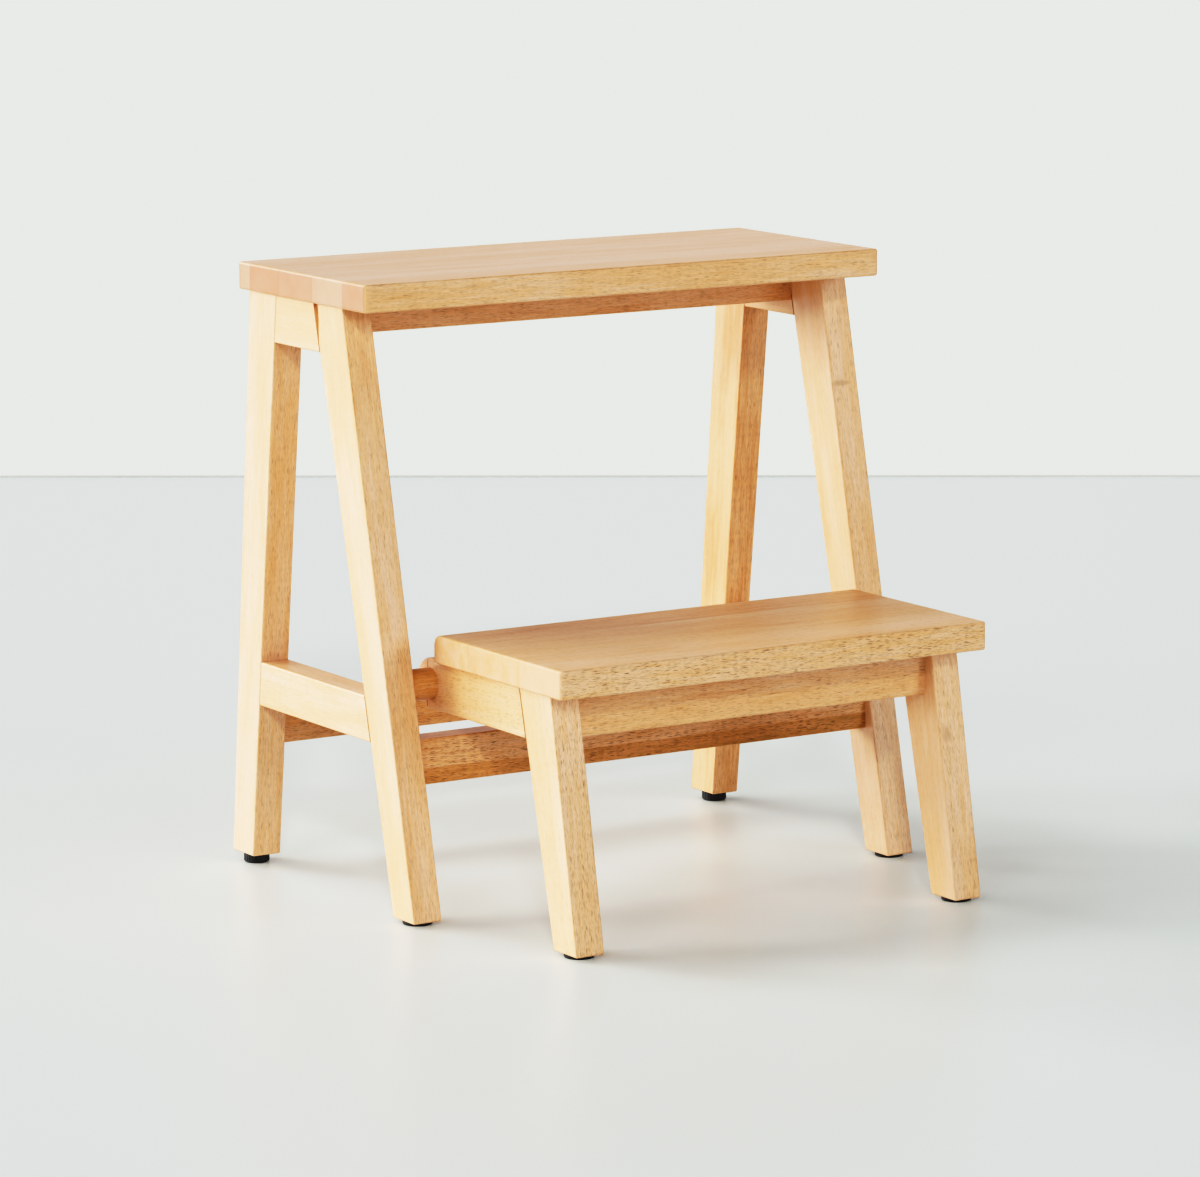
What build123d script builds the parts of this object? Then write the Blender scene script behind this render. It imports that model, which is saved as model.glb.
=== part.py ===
from build123d import *
import os

# Wooden step stool: a fixed frame with the top tread, and a lower step that flips over on a
# wooden hinge rod and comes to rest, upside down, on the rear stretcher inside the frame.
# Millimetres. The origin is on the floor at the middle of the footprint, X runs across the
# stool, -Y is the side that a person steps up from, and +Z is up.

# Treads
HEIGHT = 450.0
TOP_WIDTH = 438.0
TOP_THICK = 20.0
TOP_FRONT_Y = -6.0
TOP_REAR_Y = 180.0
STEP_HEIGHT = 202.5
STEP_WIDTH = 358.0
STEP_THICK = 20.5
STEP_FRONT_Y = -199.5
STEP_REAR_Y = -29.0
STEP_REAR_ROUND = 8.0
TREAD_CORNER = 3.0
TREAD_EDGE = 1.6

# Sticks: legs and side rails are STICK_THICK across, the rails between them RAIL_THICK
STICK_THICK = 23.0
RAIL_THICK = 20.0
STICK_EDGE = 1.3
FRAME_HALF = 215.3
STEP_HALF = 171.5

# Heights of the undersides of the rails, and how tall the rails are
STRETCHER_TALL = 33.0
FRONT_STRETCHER_Z = 95.3
SIDE_STRETCHER_Z = 123.7
SIDE_RAIL_Z = 395.0
CROSSRAIL_Z = 406.0
FRONT_CROSSRAIL_Y = 70.0
REAR_CROSSRAIL_Y = 107.0
APRON_Z = 145.5
FRONT_APRON_Z = 147.5

# From this height up, the rear edge of a front leg's outer face is cut back to an upright line,
# which leaves a shallow open wedge beside the upper rail
RELIEF_Z = 399.0
RELIEF_DEEP = 2.5

# Hinge rod, which turns in blind sockets in the front legs
ROD_Y = -11.0
ROD_R = 11.5
ROD_SOCKET = 12.0
ROD_END_PLAY = 0.5

# The lower step is stowed half a turn from its place on the floor, STOW_GAP off the stretcher
STOW_GAP = 0.4

# Feet
PAD_THICK = 2.8
PAD_R = 10.7
PAD_EDGE = 1.0
REAR_FOOT_TALL = 7.6
KNOB_R = 9.5
KNOB_GAP = 0.35
KNOB_FOOT_EDGE = 2.0
KNOB_RIM_EDGE = 0.6
KNOB_GROOVES = 24
GROOVE_R = 0.8
GROOVE_OUTSET = 0.35
STUD_R = 3.0
STUD_TOP = 45.0
STUD_BASE = 3.4
STUD_ROOM = 0.5
INSERT_R = 5.0
INSERT_LONG = 15.0

# Dowels, and how far above the underside of its rail each one lies
DOWEL_R = 4.0
DOWEL_LONG = 30.0
DOWEL_ROOM = 1.0
UPPER_RAIL_DOWELS = (6.0, 28.0)
SIDE_STRETCHER_DOWELS = (7.0, 20.0)
STRETCHER_DOWELS = (8.0, 25.0)
CROSSRAIL_DOWEL = 6.5
APRON_DOWELS = (8.0, 28.0)
APRON_DOWEL_FORWARD = 2.5

# Wood screws, and where they are driven
SCREW_R = 2.0
SCREW_HEAD_R = 4.0
SCREW_HEAD_TALL = 2.4
SCREW_HEAD_RIM = 0.4
SCREW_POINT = 5.0
DRIVE_SPAN = 4.4
DRIVE_WIDE = 0.9
DRIVE_DEEP = 1.5
TREAD_SCREW = 35.0
LOCK_SCREW = 25.0
COUNTERBORE_R = 4.6
SIDE_COUNTERBORE = 14.0
FRONT_COUNTERBORE = 12.0
TOP_SCREW_X = (-150.0, 0.0, 150.0)
STEP_SCREW_Y = (-105.0, -50.0)
STEP_SCREW_X = 80.0

PEG_CHAMFER = 0.8
ROD_CHAMFER = 1.0
FIT = 0.05

TOP_UNDER = HEIGHT - TOP_THICK
STEP_UNDER = STEP_HEIGHT - STEP_THICK
KNUCKLE_R = (STEP_UNDER - APRON_Z) / 2
ROD_Z = APRON_Z + KNUCKLE_R
REAR_STRETCHER_Z = 2 * ROD_Z - STEP_HEIGHT - STOW_GAP - STRETCHER_TALL
FRAME_INNER = FRAME_HALF - STICK_THICK
STEP_INNER = STEP_HALF - STICK_THICK
SIDES = ((-1, "left"), (1, "right"))


class Leg:
    """A leaning, tapering leg: the y of its front and rear faces at any height."""

    def __init__(self, foot, head, head_z):
        self.foot = foot
        self.head = head
        self.head_z = head_z

    def y(self, face, z):
        return self.foot[face] + (self.head[face] - self.foot[face]) * z / self.head_z

    def front(self, z):
        return self.y(0, z)

    def rear(self, z):
        return self.y(1, z)

    def middle(self, z):
        return (self.front(z) + self.rear(z)) / 2


FRONT_LEG = Leg((-61.7, -32.1), (33.0, 74.6), TOP_UNDER)
REAR_LEG = Leg((176.0, 207.4), (129.0, 169.4), TOP_UNDER)
STEP_LEG = Leg((-207.2, -177.2), (-173.5, -132.0), STEP_UNDER)

pieces = {}


def plank(outline, x_from, x_to):
    """Extrude an outline of (y, z) points across the stool."""
    face = Plane.YZ * make_face(Polyline(*outline, close=True))
    return Pos(x_from, 0, 0) * extrude(face, amount=x_to - x_from)


def ease(solid, radius, wanted):
    """Round the edges for which wanted(direction, middle) is true."""
    edges = [e for e in solid.edges() if wanted(e.tangent_at(0.5), e.position_at(0.5))]
    return fillet(edges, radius)


def peg(centre, axis, radius, length):
    """A round bar with its middle at centre, along axis X, Y or Z."""
    turn = {"X": Rot(0, 90, 0), "Y": Rot(90, 0, 0), "Z": Rot(0, 0, 0)}[axis]
    return Pos(*centre) * turn * Cylinder(radius, length)


def drill(names, centre, axis, radius, length):
    """Cut one round hole in each of the named pieces."""
    for name in names:
        pieces[name] -= peg(centre, axis, radius, length)


def dowel(group, names, centre, axis):
    """Add a dowel whose middle is on the joint, and drill both pieces for it."""
    drill(names, centre, axis, DOWEL_R + FIT, DOWEL_LONG + DOWEL_ROOM)
    bar = peg(centre, axis, DOWEL_R, DOWEL_LONG)
    pieces.setdefault(group, []).append(chamfer(bar.edges().filter_by(GeomType.CIRCLE), PEG_CHAMFER))


def screw_shape(length, slack):
    """A countersunk wood screw standing on its head at the origin, point up."""
    shank = SCREW_R + slack
    head = SCREW_HEAD_R + slack
    point = length + slack
    outline = [(0, 0), (head, 0), (head, SCREW_HEAD_RIM), (shank, SCREW_HEAD_TALL)]
    outline += [(shank, point - SCREW_POINT), (0, point)]
    return revolve(Plane.XZ * make_face(Polyline(*outline, close=True)), Axis.Z)


def screw(group, names, foot, length, counterbore=0.0):
    """Drive a screw upwards from foot, with its head at the bottom of a counterbore."""
    x, y, z = foot
    seat = Pos(x, y, z + counterbore)
    hole = seat * screw_shape(length, FIT)
    if counterbore:
        hole += Pos(x, y, z + counterbore / 2) * Cylinder(COUNTERBORE_R, counterbore)
    for name in names:
        pieces[name] -= hole
    slot = Box(DRIVE_SPAN, DRIVE_WIDE, 2 * DRIVE_DEEP)
    cross = slot + Rot(0, 0, 90) * slot
    pieces.setdefault(group, []).append(seat * (screw_shape(length, 0) - cross))


def leg_stick(leg, foot_z, side, outer):
    """One leg, cut level at foot_z and at its head."""
    outline = [(leg.front(foot_z), foot_z), (leg.rear(foot_z), foot_z)]
    outline += [(leg.rear(leg.head_z), leg.head_z), (leg.front(leg.head_z), leg.head_z)]
    stick = plank(outline, side * (outer - STICK_THICK), side * outer)
    return ease(stick, STICK_EDGE, lambda way, at: at.Z < leg.head_z - 1)


def relief(side):
    """What is cut from a front leg's outer face to leave the open wedge beside the upper rail."""
    start = FRONT_LEG.rear(RELIEF_Z)
    end = start + STICK_THICK
    outline = [(start, RELIEF_Z), (start, HEIGHT), (end, HEIGHT), (end, RELIEF_Z)]
    return plank(outline, side * (FRAME_HALF - RELIEF_DEEP), side * (FRAME_HALF + RELIEF_DEEP))


def side_rail(front_leg, rear_leg, z, tall, side):
    """A side rail between a front and a rear leg, with its ends cut to the legs' slopes."""
    top = z + tall
    outline = [(front_leg.rear(z), z), (rear_leg.front(z), z)]
    outline += [(rear_leg.front(top), top), (front_leg.rear(top), top)]
    rail = plank(outline, side * FRAME_INNER, side * FRAME_HALF)
    return ease(rail, STICK_EDGE, lambda way, at: abs(way.Y) > 0.9)


def crossrail(front_y, z, top, half):
    """A rail across the stool, with its front face at front_y."""
    outline = [(front_y, z), (front_y + RAIL_THICK, z), (front_y + RAIL_THICK, top), (front_y, top)]
    rail = plank(outline, -half, half)
    return ease(rail, STICK_EDGE, lambda way, at: abs(way.X) > 0.9)


def tread(width, front_y, rear_y, under, top):
    """A tread with softened corners and edges."""
    blank = Pos(0, (front_y + rear_y) / 2, (under + top) / 2) * Box(width, rear_y - front_y, top - under)
    blank = ease(blank, TREAD_CORNER, lambda way, at: abs(way.Z) > 0.9)
    return ease(blank, TREAD_EDGE, lambda way, at: abs(way.Z) < 0.1)


def lower_tread():
    """The lower tread, whose rear edge is rounded to turn clear of a hand."""
    outline = [(STEP_FRONT_Y, STEP_UNDER), (STEP_REAR_Y, STEP_UNDER)]
    outline += [(STEP_REAR_Y, STEP_HEIGHT), (STEP_FRONT_Y, STEP_HEIGHT)]
    blank = plank(outline, -STEP_WIDTH / 2, STEP_WIDTH / 2)
    blank = ease(blank, STEP_REAR_ROUND, lambda way, at: at.Y > STEP_REAR_Y - 1 and at.Z > STEP_HEIGHT - 1)
    under = STEP_REAR_ROUND / 2
    blank = ease(blank, under, lambda way, at: at.Y > STEP_REAR_Y - 1 and at.Z < STEP_UNDER + 1)
    blank = ease(blank, TREAD_CORNER, lambda way, at: abs(way.Z) > 0.9 and at.Y < STEP_FRONT_Y + 1)
    return ease(blank, TREAD_EDGE, lambda way, at: abs(way.X) < 0.95 or at.Y < STEP_FRONT_Y + 1)


def side_apron(side):
    """A rail under the lower tread that ends in a half-round knuckle around the hinge rod."""
    outline = [(STEP_LEG.rear(APRON_Z), APRON_Z), (ROD_Y, APRON_Z)]
    outline += [(ROD_Y, STEP_UNDER), (STEP_LEG.rear(STEP_UNDER), STEP_UNDER)]
    bar = plank(outline, side * STEP_INNER, side * STEP_HALF)
    middle = side * (STEP_INNER + STEP_HALF) / 2
    bar += peg((middle, ROD_Y, ROD_Z), "X", KNUCKLE_R, STICK_THICK)
    bar = ease(bar, STICK_EDGE, lambda way, at: abs(way.Y) > 0.9 and abs(abs(at.X) - STEP_HALF) < 0.1)
    return bar - peg((middle, ROD_Y, ROD_Z), "X", ROD_R + FIT, STICK_THICK * 2)


def main_frame():
    """The fixed frame: top tread, legs, side rails, crossrails and stretchers."""
    pieces["top_tread"] = tread(TOP_WIDTH, TOP_FRONT_Y, TOP_REAR_Y, TOP_UNDER, HEIGHT)
    for side, word in SIDES:
        pieces[f"front_leg_{word}"] = leg_stick(FRONT_LEG, PAD_THICK, side, FRAME_HALF) - relief(side)
        pieces[f"rear_leg_{word}"] = leg_stick(REAR_LEG, REAR_FOOT_TALL, side, FRAME_HALF)
        upper = side_rail(FRONT_LEG, REAR_LEG, SIDE_RAIL_Z, TOP_UNDER - SIDE_RAIL_Z, side)
        pieces[f"upper_side_rail_{word}"] = upper
        lower = side_rail(FRONT_LEG, REAR_LEG, SIDE_STRETCHER_Z, STRETCHER_TALL, side)
        pieces[f"lower_side_stretcher_{word}"] = lower
    stretcher_middle = STRETCHER_TALL / 2
    front_y = FRONT_LEG.middle(FRONT_STRETCHER_Z + stretcher_middle) - RAIL_THICK / 2
    rear_y = REAR_LEG.middle(REAR_STRETCHER_Z + stretcher_middle) - RAIL_THICK / 2
    for name, y, z, top in (
        ("front_crossrail", FRONT_CROSSRAIL_Y, CROSSRAIL_Z, TOP_UNDER),
        ("rear_crossrail", REAR_CROSSRAIL_Y, CROSSRAIL_Z, TOP_UNDER),
        ("front_stretcher", front_y, FRONT_STRETCHER_Z, FRONT_STRETCHER_Z + STRETCHER_TALL),
        ("rear_stretcher", rear_y, REAR_STRETCHER_Z, REAR_STRETCHER_Z + STRETCHER_TALL),
    ):
        pieces[name] = crossrail(y, z, top, FRAME_INNER)
    for side, word in SIDES:
        join_side(side, word)
        join_across(side, word, front_y, rear_y)
        socket = side * (FRAME_INNER + ROD_SOCKET / 2)
        drill([f"front_leg_{word}"], (socket, ROD_Y, ROD_Z), "X", ROD_R + FIT, ROD_SOCKET)
    for x in TOP_SCREW_X:
        for name, y in (("front_crossrail", FRONT_CROSSRAIL_Y), ("rear_crossrail", REAR_CROSSRAIL_Y)):
            foot = (x, y + RAIL_THICK / 2, CROSSRAIL_Z)
            screw("top_tread_screws", [name, "top_tread"], foot, TREAD_SCREW)


def join_side(side, word):
    """Dowel the side rails of one side to its two legs."""
    x = side * (FRAME_INNER + STICK_THICK / 2)
    for rail, under, rises in (
        (f"upper_side_rail_{word}", SIDE_RAIL_Z, UPPER_RAIL_DOWELS),
        (f"lower_side_stretcher_{word}", SIDE_STRETCHER_Z, SIDE_STRETCHER_DOWELS),
    ):
        for z in (under + rise for rise in rises):
            dowel("frame_dowels", [rail, f"front_leg_{word}"], (x, FRONT_LEG.rear(z), z), "Y")
            dowel("frame_dowels", [rail, f"rear_leg_{word}"], (x, REAR_LEG.front(z), z), "Y")


def join_across(side, word, front_y, rear_y):
    """Dowel one end of the stretchers to the legs, and of the crossrails to the side rails."""
    x = side * FRAME_INNER
    for rail, leg, y, z in (
        ("front_stretcher", f"front_leg_{word}", front_y, FRONT_STRETCHER_Z),
        ("rear_stretcher", f"rear_leg_{word}", rear_y, REAR_STRETCHER_Z),
    ):
        for rise in STRETCHER_DOWELS:
            dowel("frame_dowels", [rail, leg], (x, y + RAIL_THICK / 2, z + rise), "X")
    for rail, y in (("front_crossrail", FRONT_CROSSRAIL_Y), ("rear_crossrail", REAR_CROSSRAIL_Y)):
        centre = (x, y + RAIL_THICK / 2, CROSSRAIL_Z + CROSSRAIL_DOWEL)
        dowel("frame_dowels", [rail, f"upper_side_rail_{word}"], centre, "X")


def lower_step():
    """The flip-over step: tread, two legs, three aprons and the hinge rod."""
    pieces["lower_tread"] = lower_tread()
    rod = peg((0, ROD_Y, ROD_Z), "X", ROD_R, 2 * (FRAME_INNER + ROD_SOCKET - ROD_END_PLAY))
    pieces["hinge_rod"] = chamfer(rod.edges().filter_by(GeomType.CIRCLE), ROD_CHAMFER)
    apron_middle = (FRONT_APRON_Z + STEP_UNDER) / 2
    apron_y = STEP_LEG.middle(apron_middle) - RAIL_THICK / 2
    pieces["step_front_apron"] = crossrail(apron_y, FRONT_APRON_Z, STEP_UNDER, STEP_INNER)
    for side, word in SIDES:
        leg = f"step_leg_{word}"
        apron = f"step_side_apron_{word}"
        pieces[leg] = leg_stick(STEP_LEG, PAD_THICK, side, STEP_HALF)
        pieces[apron] = side_apron(side)
        x = side * (STEP_INNER + STICK_THICK / 2)
        for z in (APRON_Z + rise for rise in APRON_DOWELS):
            dowel("step_dowels", [apron, leg], (x, STEP_LEG.rear(z), z), "Y")
            centre = (side * STEP_INNER, apron_y + RAIL_THICK / 2 - APRON_DOWEL_FORWARD, z)
            dowel("step_dowels", ["step_front_apron", leg], centre, "X")
        for y in STEP_SCREW_Y:
            foot = (x, y, APRON_Z)
            screw("lower_tread_screws", [apron, "lower_tread"], foot, TREAD_SCREW, SIDE_COUNTERBORE)
        foot = (side * STEP_SCREW_X, apron_y + RAIL_THICK / 2, FRONT_APRON_Z)
        names = ["step_front_apron", "lower_tread"]
        screw("lower_tread_screws", names, foot, TREAD_SCREW, FRONT_COUNTERBORE)
        screw("rod_lock_screws", [apron, "hinge_rod"], (x, ROD_Y, APRON_Z), LOCK_SCREW)


def pad(x, y):
    """A round rubber pad under a leg."""
    disc = Pos(x, y, PAD_THICK / 2) * Cylinder(PAD_R, PAD_THICK)
    return fillet(disc.edges().group_by(Axis.Z)[0], PAD_EDGE)


def levelling_foot(side, word):
    """A ribbed knob on a threaded stud, and the insert that it screws into."""
    x = side * (FRAME_INNER + STICK_THICK / 2)
    y = REAR_LEG.middle(REAR_FOOT_TALL)
    base = Pos(x, y, 0)
    knob_top = REAR_FOOT_TALL - KNOB_GAP
    knob = Pos(0, 0, knob_top / 2) * Cylinder(KNOB_R, knob_top)
    knob = fillet(knob.edges().group_by(Axis.Z)[0], KNOB_FOOT_EDGE)
    knob = fillet(knob.edges().group_by(Axis.Z)[-1], KNOB_RIM_EDGE)
    knob -= PolarLocations(KNOB_R + GROOVE_OUTSET, KNOB_GROOVES) * Cylinder(GROOVE_R, 3 * knob_top)
    socket_base = STUD_BASE - KNOB_GAP
    knob -= Pos(0, 0, (socket_base + knob_top) / 2) * Cylinder(STUD_R + FIT, knob_top - socket_base)
    stud = Pos(0, 0, (STUD_BASE + STUD_TOP) / 2) * Cylinder(STUD_R, STUD_TOP - STUD_BASE)
    stud = chamfer(stud.edges().group_by(Axis.Z)[-1], PEG_CHAMFER)
    tube = Pos(0, 0, REAR_FOOT_TALL + INSERT_LONG / 2)
    insert = tube * (Cylinder(INSERT_R, INSERT_LONG) - Cylinder(STUD_R + FIT, INSERT_LONG))
    leg = f"rear_leg_{word}"
    drill([leg], (x, y, REAR_FOOT_TALL + INSERT_LONG / 2), "Z", INSERT_R + FIT, INSERT_LONG)
    drill([leg], (x, y, REAR_FOOT_TALL + STUD_TOP / 2), "Z", STUD_R + STUD_ROOM, STUD_TOP)
    pieces[f"rear_foot_knob_{word}"] = base * knob
    pieces[f"rear_foot_stud_{word}"] = base * stud
    pieces[f"rear_foot_insert_{word}"] = base * insert


def feet():
    """Rubber pads under the front and step legs, and levelling feet under the rear legs."""
    for side, word in SIDES:
        frame_x = side * (FRAME_INNER + STICK_THICK / 2)
        step_x = side * (STEP_INNER + STICK_THICK / 2)
        pieces[f"front_leg_pad_{word}"] = pad(frame_x, FRONT_LEG.middle(PAD_THICK))
        pieces[f"step_leg_pad_{word}"] = pad(step_x, STEP_LEG.middle(PAD_THICK))
        levelling_foot(side, word)


main_frame()
lower_step()
feet()

os.makedirs("parts", exist_ok=True)
for name, shape in pieces.items():
    if isinstance(shape, list):
        shape = Compound(children=shape)
    export_step(shape, f"parts/{name}.step")
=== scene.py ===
"""Looks for a wooden step stool whose lower step flips over on a rod: clear-finished hardwood with its
pores and growth rings, rubber pads, ribbed plastic knobs, zinc steel and brass, on a pale studio floor."""
import math

import bpy
import numpy as np
from mathutils import Matrix, Vector


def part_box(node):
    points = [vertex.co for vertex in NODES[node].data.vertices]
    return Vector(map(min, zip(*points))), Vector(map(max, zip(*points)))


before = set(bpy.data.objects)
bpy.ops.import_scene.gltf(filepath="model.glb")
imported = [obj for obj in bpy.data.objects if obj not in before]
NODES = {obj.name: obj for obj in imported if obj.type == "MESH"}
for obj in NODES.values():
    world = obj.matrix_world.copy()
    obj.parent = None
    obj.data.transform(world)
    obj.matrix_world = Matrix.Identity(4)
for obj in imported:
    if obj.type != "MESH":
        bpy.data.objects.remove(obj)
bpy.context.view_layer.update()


# ---------------------------------------------------------------- building a finish


class Value:
    """A number or colour that changes over a surface. It wraps a shader socket, and sums and products
    of it add Math nodes."""

    def __init__(self, finish, socket):
        self.finish = finish
        self.socket = socket

    def maths(self, operation, *terms):
        return self.finish.node("ShaderNodeMath", {"operation": operation}, dict(enumerate(terms)))

    def __add__(self, other):
        return self.maths("ADD", self, other)

    __radd__ = __add__

    def __sub__(self, other):
        return self.maths("SUBTRACT", self, other)

    def __rsub__(self, other):
        return self.maths("SUBTRACT", other, self)

    def __mul__(self, other):
        return self.maths("MULTIPLY", self, other)

    __rmul__ = __mul__

    def __truediv__(self, other):
        return self.maths("DIVIDE", self, other)

    def __gt__(self, other):
        return self.maths("GREATER_THAN", self, other)

    def size(self):
        return self.maths("ABSOLUTE", self)

    def at_most(self, limit):
        return self.maths("MINIMUM", self, limit)

    def fraction(self):
        return self.maths("FRACT", self)

    def rise(self, low, high):
        """0 up to low, then a smooth rise to 1 at high. With high below low it falls instead."""
        start, stop, first, last = (low, high, 0.0, 1.0) if low < high else (high, low, 1.0, 0.0)
        settings = {"interpolation_type": "SMOOTHSTEP"}
        limits = {"From Min": start, "From Max": stop, "To Min": first, "To Max": last}
        return self.finish.node("ShaderNodeMapRange", settings, {"Value": self, **limits})

    def also(self, output):
        """Another output of the node that this value comes from."""
        return Value(self.finish, self.socket.node.outputs[output])


class Finish:
    """A material while it is made. node() adds a node of any type, with its settings before its inputs."""

    def __init__(self, name):
        self.material = bpy.data.materials.new(name)
        self.material.use_nodes = True
        self.tree = self.material.node_tree
        self.tree.nodes.clear()

    def node(self, kind, settings, inputs, output=0):
        made = self.tree.nodes.new(kind)
        for key, value in settings.items():
            setattr(made, key, value)
        for key, value in inputs.items():
            if isinstance(value, Value):
                self.tree.links.new(value.socket, made.inputs[key])
            else:
                made.inputs[key].default_value = value
        return Value(self, made.outputs[output])

    def place(self, output="Object"):
        """The point of the surface or, as "Normal", the way that it faces."""
        return self.node("ShaderNodeTexCoord", {}, {}, output)

    def axis(self, vector, letter):
        """One of a vector's three numbers."""
        return self.node("ShaderNodeSeparateXYZ", {}, {0: vector}, letter)

    def vectors(self, operation, first, second, output=0):
        """Two vectors taken together; output is "Value" where the result is a number."""
        return self.node("ShaderNodeVectorMath", {"operation": operation}, {0: first, 1: second}, output)

    def noise(self, place, detail, roughness=0.5):
        inputs = {"Vector": place, "Scale": 1.0, "Detail": detail, "Roughness": roughness}
        return self.node("ShaderNodeTexNoise", {}, inputs)

    def stretch(self, place, sizes, shift=(0.0, 0.0, 0.0)):
        """The place measured in cells of these sizes in metres, moved by shift cells."""
        scale = [1.0 / size for size in sizes]
        return self.node("ShaderNodeMapping", {}, {"Vector": place, "Location": shift, "Scale": scale})

    def blend(self, mask, first, second):
        """The first colour where the mask is 0 and the second where it is 1."""
        return self.node("ShaderNodeMix", {"data_type": "RGBA"}, {0: mask, 6: first, 7: second}, 2)

    def shade(self, colour, amount):
        """A colour made lighter or darker by a factor."""
        return self.node("ShaderNodeVectorMath", {"operation": "SCALE"}, {0: colour, "Scale": amount})

    def done(self, colour, roughness, height, depth, **constants):
        """The Principled shader with this colour, roughness and a bump of depth metres."""
        bump = self.node("ShaderNodeBump", {}, {"Strength": 1.0, "Distance": depth, "Height": height})
        inputs = {"Base Color": colour, "Roughness": roughness, "Normal": bump}
        inputs.update({key.replace("_", " "): value for key, value in constants.items()})
        shader = self.node("ShaderNodeBsdfPrincipled", {}, inputs)
        out = self.tree.nodes.new("ShaderNodeOutputMaterial")
        self.tree.links.new(shader.socket, out.inputs["Surface"])
        return self.material


# ---------------------------------------------------------------- the wood

PALE = (0.83, 0.542, 0.348, 1.0)
STRAW = (0.79, 0.458, 0.232, 1.0)
HONEY = (0.665, 0.312, 0.102, 1.0)
AMBER = (0.51, 0.228, 0.044, 1.0)
BLUSH = (0.75, 0.330, 0.165, 1.0)
PORE = (0.17, 0.070, 0.020, 1.0)
KNOT = (0.33, 0.140, 0.042, 1.0)
# each colour that follows PALE, and the depths of tone between which it comes in
DEEPER = ((STRAW, 0.0, 0.55), (HONEY, 0.5, 1.1), (AMBER, 1.0, 1.7))

# cells of the patterns in metres, along the grain and twice across it
FIGURE_CELL = (0.16, 0.020, 0.020)
WANDER_CELL = (0.11, 0.030, 0.030)
BLOTCH_CELL = (0.035, 0.006, 0.006)
THREAD_CELL = (0.040, 0.0023, 0.0023)
FIBRE_CELL = (0.012, 0.0007, 0.0007)
# vessels: length, width, the part of its cell that one fills, and the share of cells that hold one
LARGE_VESSEL = (0.0082, 0.00066, 0.36, 0.62)
SMALL_VESSEL = (0.0046, 0.00042, 0.38, 0.80)

# how much each pattern deepens the tone
MIDDLE_TONE = 0.42
FIGURE_TONE = 1.3
BLOTCH_TONE = 0.5
THREAD_TONE = 1.1
LATE_TONE = 0.07
OPEN_TONE = 0.07
FIBRE_SHADE = 0.6

PITH_NEAR, PITH_FAR = 0.035, 0.075
RING_WIDTH = 0.0034
RING_WANDER = 0.016
RING_BLOTCH = 0.002
CALM = 0.40
END_DARK = 0.10
END_PALE = 0.25
LARGE_DARK, SMALL_DARK, DARKEST = 0.62, 0.36, 0.85

GLUE_LINE = (0.00032, 0.00008)
GLUE_DARK = 0.35
SEAM_HALF = 0.00045
SEAM_DARK = 0.85
BAND_EDGE = 0.0006
KNOT_CORE = (0.0050, 0.0016)
KNOT_REACH = (0.016, 0.001)
KNOT_BEND = 0.009
KNOT_DARK = 0.42

SATIN = 0.42
SHEEN = 0.22
BARE_SHINE = 0.28
COAT_ROUGH = 0.26
WOOD_BUMP = 0.00012


def grain_place(finish, along, middle):
    """The surface's points from the piece's middle, turned so that X runs with the grain."""
    grain = Vector(along).normalized()
    side = grain.cross(Vector((0.0, 0.0, 1.0) if abs(grain.z) < 0.7 else (0.0, 1.0, 0.0))).normalized()
    turn = Matrix((grain, side, grain.cross(side)))
    inputs = {"Vector": finish.place(), "Location": -(turn @ Vector(middle)), "Rotation": turn.to_euler("XYZ")}
    return grain, finish.node("ShaderNodeMapping", {}, inputs)


def glued_strips(finish, staves, place, seed):
    """The strips of an edge-glued board. Each starts past its own y, where its tone and blush replace
    those of the one before, and its pattern is slid by a vector drawn for it. A glue line is where y is
    within a hair of a start. Gives the slid place, the tone, the blush and the glue lines."""
    across = finish.axis(finish.place(), "Y")
    number = 0.0
    joint = 0.0
    tone, blush = staves[0][1:]
    for (_, tone_before, blush_before), (edge, tone_here, blush_here) in zip(staves, staves[1:]):
        past = across > edge
        number = number + past
        tone = past * (tone_here - tone_before) + tone
        blush = past * (blush_here - blush_before) + blush
        joint = (across - edge).size().rise(*GLUE_LINE) + joint
    chance = finish.node("ShaderNodeTexWhiteNoise", {"noise_dimensions": "1D"}, {"W": number + seed})
    slide = finish.shade(chance.also("Color"), 0.9)
    return finish.vectors("ADD", place, slide), tone, blush, joint


def vessels(finish, place, kind, shift):
    """Long thin cells: 1 inside a vessel, with a strength drawn for each, and 0 outside."""
    length, width, size, kept = kind
    cells = finish.node(
        "ShaderNodeTexVoronoi",
        {"feature": "F1", "voronoi_dimensions": "3D"},
        {"Vector": finish.stretch(place, (length, width, width), shift), "Scale": 1.0},
        "Distance",
    )
    chance = finish.node("ShaderNodeSeparateColor", {}, {0: cells.also("Color")})
    return cells.rise(size, size * 0.7) * (chance > 1.0 - kept) * (chance * 0.5 + 0.5)


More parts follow.
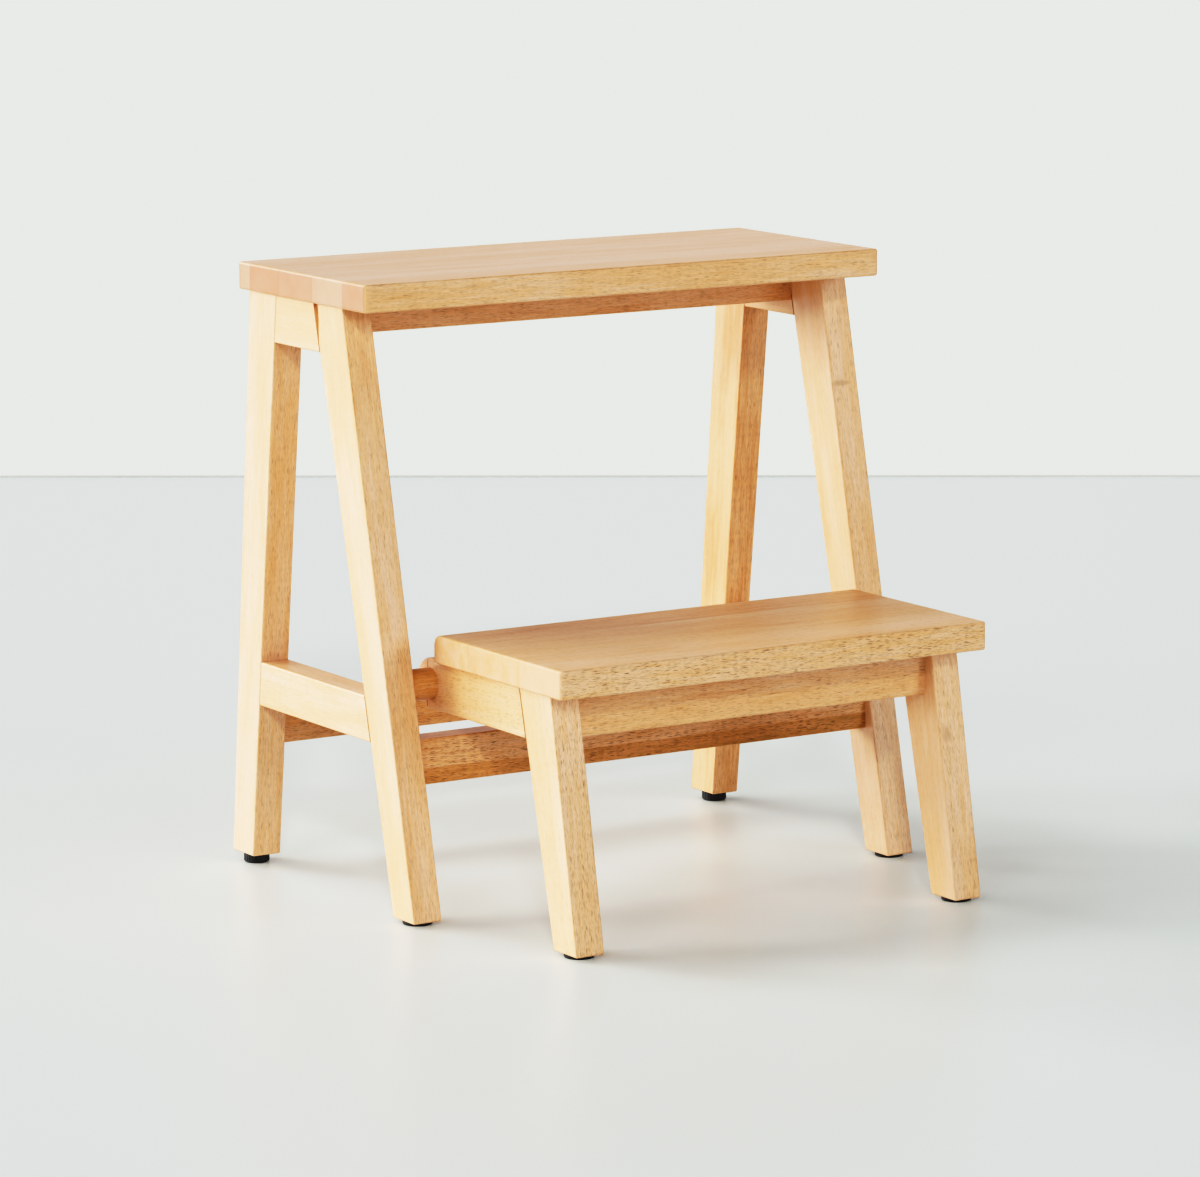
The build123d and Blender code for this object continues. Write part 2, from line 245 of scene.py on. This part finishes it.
def wood(
    name, along, middle, seed, tone, pores,
    staves=(), bands=(), seams=(), knot=None, sheen=SHEEN, end_dark=END_DARK,
):
    """Clear-finished hardwood. along is the way its grain runs and middle the piece's centre. The growth
    rings are the distance from a pith line beside the piece, which a slow noise makes wander, cut into
    steps; the pores are long thin cells that lie along the grain. staves are glued strips, each with the
    y where it starts, its tone and the blush of its ends. bands are streaks of heartwood, from one
    height to another. seams are the open joint lines at a rail's ends, each a point and a normal. A knot
    is a squeezed ball, inside which the wood darkens and around which the rings bend. The faces that
    look along Y are sawn across the vessels and show them most; CALM is how strongly the others do."""
    finish = Finish(name)
    draw = np.random.default_rng(seed)
    pith = Vector((0.0, *draw.uniform(PITH_NEAR, PITH_FAR, 2) * draw.choice((-1, 1), 2)))
    shift = Vector(draw.uniform(-9.0, 9.0, 3))
    grain, place = grain_place(finish, along, middle)
    stave_tone = 0.0
    if staves:
        place, stave_tone, blush, joint = glued_strips(finish, staves, place, seed)

    figure = finish.noise(finish.stretch(place, FIGURE_CELL, shift), 2.0)
    wander = finish.noise(finish.stretch(place, WANDER_CELL, shift * 2), 1.0) - 0.5
    blotch = finish.noise(finish.stretch(place, BLOTCH_CELL, shift * 5), 3.0)
    threads = finish.noise(finish.stretch(place, THREAD_CELL, shift * 3), 3.0, 0.6)
    fibre = finish.noise(finish.stretch(place, FIBRE_CELL, shift), 3.0, 0.65)

    looks = finish.axis(finish.place("Normal"), "Y").size()
    open_face = CALM + (1.0 - CALM) * looks
    end_grain = finish.vectors("DOT_PRODUCT", finish.place("Normal"), grain, "Value").size().rise(0.75, 0.97)

    flat = finish.vectors("MULTIPLY", place, (0.0, 1.0, 1.0))
    ring = finish.vectors("DISTANCE", flat, pith, "Value") + wander * RING_WANDER + blotch * RING_BLOTCH
    if knot:
        centre, squeeze = knot
        oval = finish.vectors("MULTIPLY", finish.vectors("SUBTRACT", finish.place(), centre), squeeze)
        reach = finish.node("ShaderNodeVectorMath", {"operation": "LENGTH"}, {0: oval}, "Value")
        reach = reach + (threads - 0.5) * 0.006
        ring = ring + reach.rise(*KNOT_REACH) * KNOT_BEND
    season = (ring / RING_WIDTH).fraction()
    late = season.rise(0.35, 0.98) * season.rise(1.0, 0.94)

    early = 0.75 + 0.25 * season.rise(0.7, 0.2)
    crowd = blotch.rise(0.30, 0.60) * 0.45 + 0.55
    strength = open_face * pores
    large = vessels(finish, place, LARGE_VESSEL, shift) * early * crowd * strength
    small = vessels(finish, place, SMALL_VESSEL, shift * 4) * strength

    deep = (figure - 0.5) * FIGURE_TONE + (blotch - 0.5) * BLOTCH_TONE
    deep = deep + (threads - 0.5) * open_face * THREAD_TONE + late * LATE_TONE
    if staves:
        deep = deep - end_grain * END_PALE
    else:
        deep = deep + looks * OPEN_TONE
    deep = deep + (MIDDLE_TONE + tone) + stave_tone
    for low, high, band_tone in bands:
        height = finish.axis(finish.place(), "Z") + wander * 0.004
        above = height.rise(low - BAND_EDGE, low + BAND_EDGE)
        below = height.rise(high + BAND_EDGE, high - BAND_EDGE)
        deep = deep + above * below * band_tone
    colour = PALE
    for deeper, start, full in DEEPER:
        colour = finish.blend(deep.rise(start, full), colour, deeper)
    colour = finish.shade(colour, 1.0 + (fibre - 0.5) * open_face * FIBRE_SHADE)
    if staves:
        colour = finish.blend(end_grain * blush * (0.6 + 0.8 * figure), colour, BLUSH)
    colour = finish.shade(colour, 1.0 - end_grain * end_dark)
    dark = (large * LARGE_DARK + small * SMALL_DARK).at_most(DARKEST)
    colour = finish.blend(dark * (1.0 - end_grain * 0.6), colour, PORE)
    if knot:
        colour = finish.blend(reach.rise(*KNOT_CORE) * KNOT_DARK, colour, KNOT)
    if staves:
        colour = finish.blend(joint * GLUE_DARK, colour, PORE)
    for point, normal in seams:
        gap = finish.vectors("DOT_PRODUCT", finish.vectors("SUBTRACT", finish.place(), point), normal, "Value")
        line = gap.size().rise(SEAM_HALF * 1.5, SEAM_HALF * 0.6) * looks.rise(0.8, 0.3)
        colour = finish.blend(line * SEAM_DARK, colour, PORE)

    satin = SATIN + (fibre - 0.5) * 0.22 + large * 0.25 + end_grain * 0.08
    height = (fibre - 0.5) * 0.45 - large * 0.9 - small * 0.5 + (threads - 0.5) * 0.5
    return finish.done(
        colour, satin, height, WOOD_BUMP,
        Specular_IOR_Level=BARE_SHINE + sheen, Coat_Weight=sheen, Coat_Roughness=COAT_ROUGH, IOR=1.5,
    )


def corners(node):
    """The corners of a node's mesh, as rows of X, Y and Z."""
    mesh = NODES[node].data
    points = np.empty(len(mesh.vertices) * 3)
    mesh.vertices.foreach_get("co", points)
    return points.reshape(-1, 3)


def lean(node):
    """The way a leg runs, from the middle of its foot to the middle of its head."""
    points = corners(node)
    low, high = points[:, 2].min(), points[:, 2].max()
    span = (high - low) * 0.04
    foot = points[points[:, 2] < low + span]
    head = points[points[:, 2] > high - span]
    middles = [(part.min(0) + part.max(0)) / 2 for part in (foot, head)]
    return Vector(middles[1] - middles[0])


def end_seams(node):
    """The two lines in which a side rail meets its legs: the ends of its outline, as points with normals."""
    points = corners(node)
    low, high = points[:, 2].min(), points[:, 2].max()
    seams = []
    for pick in (np.min, np.max):
        foot = pick(points[points[:, 2] < low + 0.0005, 1])
        head = pick(points[points[:, 2] > high - 0.0005, 1])
        run = Vector((0.0, head - foot, high - low)).normalized()
        seams.append((Vector((0.0, foot, low)), Vector((0.0, run.z, -run.y))))
    return seams


ACROSS = (1.0, 0.0, 0.0)
FORE_AND_AFT = (0.0, 1.0, 0.0)

# node: grain (None follows the leg), seed, tone from pale (-) to honey (+), strength of the pores
WOODS = {
    "top_tread": (ACROSS, 3, -0.05, 0.8),
    "lower_tread": (ACROSS, 5, 0.10, 1.3),
    "front_leg_left": (None, 11, -0.13, 0.75),
    "front_leg_right": (None, 12, -0.14, 0.75),
    "rear_leg_left": (None, 13, -0.20, 0.8),
    "rear_leg_right": (None, 14, 0.25, 0.9),
    "upper_side_rail_left": (FORE_AND_AFT, 15, -0.05, 0.6),
    "upper_side_rail_right": (FORE_AND_AFT, 16, 0.1, 0.9),
    "lower_side_stretcher_left": (FORE_AND_AFT, 17, 0.0, 1.2),
    "lower_side_stretcher_right": (FORE_AND_AFT, 18, 0.1, 0.9),
    "front_crossrail": (ACROSS, 19, 0.05, 0.9),
    "rear_crossrail": (ACROSS, 20, 0.2, 0.9),
    "front_stretcher": (ACROSS, 21, 0.23, 1.5),
    "rear_stretcher": (ACROSS, 22, 0.31, 1.2),
    "step_leg_left": (None, 23, -0.06, 1.1),
    "step_leg_right": (None, 24, -0.18, 0.9),
    "step_side_apron_left": (FORE_AND_AFT, 25, 0.10, 2.0),
    "step_side_apron_right": (FORE_AND_AFT, 26, 0.05, 0.9),
    "step_front_apron": (ACROSS, 27, -0.06, 0.9),
    "hinge_rod": (ACROSS, 28, 0.58, 1.0),
    "frame_dowels": (FORE_AND_AFT, 29, -0.1, 0.3),
    "step_dowels": (FORE_AND_AFT, 30, -0.1, 0.3),
}
# glued strips: the y where each starts, its tone and its blush; the first starts off the board
TOP_STAVES = (
    (-1.0, 0.0, 0.80), (0.026, -0.20, 0.35), (0.0695, -0.10, 0.85),
    (0.1185, -0.06, 0.95), (0.1615, -0.10, 0.35),
)
STEP_STAVES = ((-1.0, -0.32, 0.25), (-0.145, -0.05, 0.35), (-0.0765, 0.05, 0.20))
# a streak of heartwood: from one height to another, and how much deeper the tone is
STRETCHER_BAND = (0.090, 0.1065, 0.55)
# a knot: where it is, and how tightly it is squeezed along X, Y and Z
STEP_LEG_KNOT = ((0.1552, -0.188, 0.1210), (0.8, 0.6, 0.55))
FRONT_LEG_KNOT = ((0.2012, 0.0150, 0.3488), (0.42, 0.6, 1.7))
EXTRAS = {
    "top_tread": {"staves": TOP_STAVES, "end_dark": 0.34},
    "lower_tread": {"staves": STEP_STAVES, "end_dark": 0.04, "sheen": 0.0},
    "front_stretcher": {"bands": (STRETCHER_BAND,)},
    "step_leg_right": {"knot": STEP_LEG_KNOT},
    "front_leg_right": {"knot": FRONT_LEG_KNOT},
}
SEAMED = ("upper_side_rail", "lower_side_stretcher", "step_side_apron")


# ---------------------------------------------------------------- rubber, plastic and metal

RUBBER, DUST = (0.030, 0.030, 0.030, 1.0), (0.08, 0.078, 0.072, 1.0)
PLASTIC, RUBBED = (0.028, 0.028, 0.029, 1.0), (0.07, 0.069, 0.068, 1.0)
ZINC, ZINC_TINT = (0.62, 0.62, 0.60, 1.0), (0.55, 0.52, 0.44, 1.0)
BRASS, BRASS_TINT = (0.78, 0.58, 0.26, 1.0), (0.62, 0.44, 0.20, 1.0)
LATHE_MARKS = (0.003, 0.003, 0.00025)


def rubber(name):
    """Dull black rubber: fine moulded grain, and dust that greys it in patches."""
    finish = Finish(name)
    place = finish.place()
    grain = finish.noise(finish.stretch(place, (0.0004, 0.0004, 0.0004)), 3.0)
    dust = finish.noise(finish.stretch(place, (0.006, 0.006, 0.003)), 3.0)
    colour = finish.blend(dust.rise(0.45, 0.75) * 0.4, RUBBER, DUST)
    return finish.done(colour, 0.72 + grain * 0.15, grain, 0.00005, Specular_IOR_Level=0.4)


def ribbed_plastic(name):
    """Moulded black plastic with a spark-eroded texture and rubbed high spots."""
    finish = Finish(name)
    place = finish.place()
    grain = finish.noise(finish.stretch(place, (0.00035, 0.00035, 0.00035)), 2.0)
    rub = finish.noise(finish.stretch(place, (0.004, 0.004, 0.004)), 2.0)
    colour = finish.blend(rub.rise(0.5, 0.8) * 0.5, PLASTIC, RUBBED)
    return finish.done(colour, 0.42 + rub * 0.14, grain, 0.00003, Specular_IOR_Level=0.5)


def metal(name, colour, tint):
    """Plated or turned metal: fine rings left by the lathe, with a mottled tint."""
    finish = Finish(name)
    place = finish.place()
    marks = finish.noise(finish.stretch(place, LATHE_MARKS), 3.0)
    mottle = finish.noise(finish.stretch(place, (0.002, 0.002, 0.002)), 2.0)
    base = finish.blend(mottle.rise(0.35, 0.7) * 0.6, colour, tint)
    return finish.done(base, 0.26 + marks * 0.22, marks, 0.00002, Metallic=1.0)


def dress():
    """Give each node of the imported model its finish."""
    steel = metal("zinc_steel", ZINC, ZINC_TINT)
    brass = metal("turned_brass", BRASS, BRASS_TINT)
    black_rubber = rubber("pad_rubber_black")
    knob = ribbed_plastic("knob_plastic_black")
    kinds = {"pad": black_rubber, "knob": knob, "stud": steel, "insert": brass, "screws": steel}
    for name, node in NODES.items():
        if name in WOODS:
            along, seed, tone, pores = WOODS[name]
            low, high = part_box(name)
            extras = dict(EXTRAS.get(name, {}))
            if name.startswith(SEAMED):
                extras["seams"] = end_seams(name)
            finish = wood(name + "_wood", along or lean(name), (low + high) / 2, seed, tone, pores, **extras)
        else:
            finish = next(kinds[word] for word in kinds if word in name)
        node.data.materials.clear()
        node.data.materials.append(finish)


dress()


# ---------------------------------------------------------------- floor, lights and camera

VIEW_YAW = math.radians(-32.2056)
VIEW_PITCH = math.radians(9.7817)
VIEW_ROLL = math.radians(-0.1149)
VIEW_AIM = Vector((-0.03297, -0.01776, 0.220))
VIEW_DISTANCE = 3.8153
LENS = 158.72
SENSOR = 36.0
SIGHT = 100.0

FLOOR_BEHIND = 1.9625
EDGE_SKEW = 0.0106
FLOOR_REACH = 14.0
FLOOR_PAINT = (0.772, 0.838, 0.80)
FLOOR_GLOW = 0.07
LIP = 0.0024
# the grey of the floor's lip: a painted shadow for the gap where the floor meets the wall
LIP_SHADE_GREY = (0.62, 0.62, 0.60)
SKY = 0.02
WALL = (1.01, 1.06, 0.99, 1.0)

# lamps: azimuth, elevation, strength, width
LAMPS = (
    (-120.0, 13.0, 2.191, 26.0),
    (-150.0, 13.0, 1.880, 26.0),
    (-150.0, 58.0, 1.019, 26.0),
    (30.0, 13.0, 0.800, 26.0),
    (-30.0, 28.0, 0.80, 5.0),
    (-60.0, 33.0, 0.693, 26.0),
    (-90.0, 13.0, 0.544, 26.0),
    (0.0, 30.0, 0.168, 26.0),
    (0.0, 13.0, 0.166, 26.0),
    (150.0, 13.0, 0.159, 26.0),
    (150.0, 58.0, 0.155, 26.0),
)
# fill lamps: those nearer the front than this azimuth and higher than this elevation
FILL_REACH = 100.0
FILL_LOW = 20.0

# the tone curve: light in the scene, and how bright it is printed
BRIGHTEST = 6.0
TONES = (
    (0.0, 0.0), (0.05, 0.010), (0.1, 0.034), (0.15, 0.070), (0.2, 0.114), (0.3, 0.218), (0.45, 0.41),
    (0.65, 0.60), (0.9, 0.765), (1.3, 0.89), (2.0, 0.985), (6.0, 1.0),
)


def flat_panel(name, points, finish):
    """A flat four-cornered panel of the studio."""
    mesh = bpy.data.meshes.new(name)
    mesh.from_pydata([tuple(point) for point in points], [], [(0, 1, 2, 3)])
    mesh.materials.append(finish)
    panel = bpy.data.objects.new(name, mesh)
    bpy.context.collection.objects.link(panel)


def studio():
    """A pale floor that ends behind the stool in a thin grey lip of painted shadow, with a pale wall of light
    beyond it.
    """
    away = Vector((-math.sin(VIEW_YAW), math.cos(VIEW_YAW), 0.0))
    beside = Vector((away.y, -away.x, 0.0)) * FLOOR_REACH
    front = -away * FLOOR_REACH
    back = away * FLOOR_BEHIND
    edge = beside - away * (EDGE_SKEW * FLOOR_REACH)
    rise = Vector((0.0, 0.0, LIP))

    paint = Finish("floor_paint")
    place = paint.place()
    drift = paint.noise(paint.stretch(place, (1.3, 1.3, 1.3)), 2.0)
    speck = paint.noise(paint.stretch(place, (0.004, 0.004, 0.004)), 3.0)
    colour = paint.shade(FLOOR_PAINT, 0.985 + drift * 0.03)
    painted = paint.done(
        colour, 0.34 + drift * 0.08, speck, 0.00002,
        Emission_Color=(1.0, 1.0, 1.0, 1.0), Emission_Strength=FLOOR_GLOW,
    )
    flat_panel("studio_floor", (front - beside, front + beside, back + edge, back - edge), painted)

    # the lip is painted grey as the shadow of a gap between floor and wall; the noise only mottles that
    # painted shade
    shadow = Finish("lip_shadow")
    shadow_mottle = shadow.noise(shadow.stretch(shadow.place(), (0.2, 0.2, 0.2)), 2.0)
    grey = shadow.shade(LIP_SHADE_GREY, 0.9 + shadow_mottle * 0.2)
    shadowed = shadow.done(grey, 0.8 + shadow_mottle * 0.1, shadow_mottle, 0.0001)
    flat_panel("floor_lip", (back - edge, back + edge, back + edge + rise, back - edge + rise), shadowed)


def world_light(strength, seen):
    """An even sky: its strength as light, and the brightness at which it is seen as the wall."""
    world = bpy.data.worlds.new("studio_air")
    bpy.context.scene.world = world
    world.use_nodes = True
    tree = world.node_tree
    tree.nodes.clear()
    path = tree.nodes.new("ShaderNodeLightPath")
    light = tree.nodes.new("ShaderNodeBackground")
    wall = tree.nodes.new("ShaderNodeBackground")
    mix = tree.nodes.new("ShaderNodeMixShader")
    out = tree.nodes.new("ShaderNodeOutputWorld")
    light.inputs["Color"].default_value = (1.0, 1.0, 1.0, 1.0)
    light.inputs["Strength"].default_value = strength
    wall.inputs["Color"].default_value = seen
    tree.links.new(path.outputs["Is Camera Ray"], mix.inputs[0])
    tree.links.new(light.outputs[0], mix.inputs[1])
    tree.links.new(wall.outputs[0], mix.inputs[2])
    tree.links.new(mix.outputs[0], out.inputs["Surface"])


def lamp(name, azimuth, elevation, energy, width):
    """A sun lamp that shines from this azimuth (0 is the front, 90 the right) and elevation in degrees.
    The high fill lamps in front are matt, like cloth-covered boxes, and leave no glare on the treads."""
    data = bpy.data.lights.new(name, "SUN")
    data.energy = energy
    data.angle = math.radians(width)
    turn, rise = math.radians(azimuth), math.radians(elevation)
    towards = Vector((math.sin(turn) * math.cos(rise), -math.cos(turn) * math.cos(rise), math.sin(rise)))
    lamp_object = bpy.data.objects.new(name, data)
    lamp_object.rotation_mode = "QUATERNION"
    lamp_object.rotation_quaternion = towards.to_track_quat("Z", "Y")
    lamp_object.visible_glossy = abs(azimuth) > FILL_REACH or elevation < FILL_LOW
    bpy.context.collection.objects.link(lamp_object)


def camera():
    """The camera, on a circle about the aim point, rolled a little about its line of sight."""
    level = math.cos(VIEW_PITCH)
    back = Vector((math.sin(VIEW_YAW) * level, -math.cos(VIEW_YAW) * level, math.sin(VIEW_PITCH)))
    right = (-back).cross(Vector((0.0, 0.0, 1.0))).normalized()
    up = right.cross(-back)
    right_rolled = right * math.cos(VIEW_ROLL) + up * math.sin(VIEW_ROLL)
    up_rolled = up * math.cos(VIEW_ROLL) - right * math.sin(VIEW_ROLL)
    data = bpy.data.cameras.new("studio_camera")
    data.lens = LENS
    data.sensor_width = SENSOR
    data.clip_end = SIGHT
    seen_from = bpy.data.objects.new("studio_camera", data)
    turn = Matrix((right_rolled, up_rolled, back)).transposed()
    seen_from.matrix_world = Matrix.Translation(VIEW_AIM + back * VIEW_DISTANCE) @ turn.to_4x4()
    bpy.context.collection.objects.link(seen_from)
    bpy.context.scene.camera = seen_from


def film():
    """The print's tone curve, from the light in the scene to the light in the picture: deep shadows, and
    highlights that roll off gently to white."""
    view = bpy.context.scene.view_settings
    view.view_transform = "Standard"
    view.use_curve_mapping = True
    tones = view.curve_mapping
    tones.white_level = [BRIGHTEST] * 3
    curve = tones.curves[3]
    for light, printed in TONES[1:-1]:
        curve.points.new(light / BRIGHTEST, printed)
    curve.points[-1].location = (1.0, TONES[-1][1])
    tones.update()


studio()
world_light(SKY, WALL)
for number, (azimuth, elevation, strength, width) in enumerate(LAMPS):
    lamp(f"softbox_{number}", azimuth, elevation, strength, width)
camera()
film()
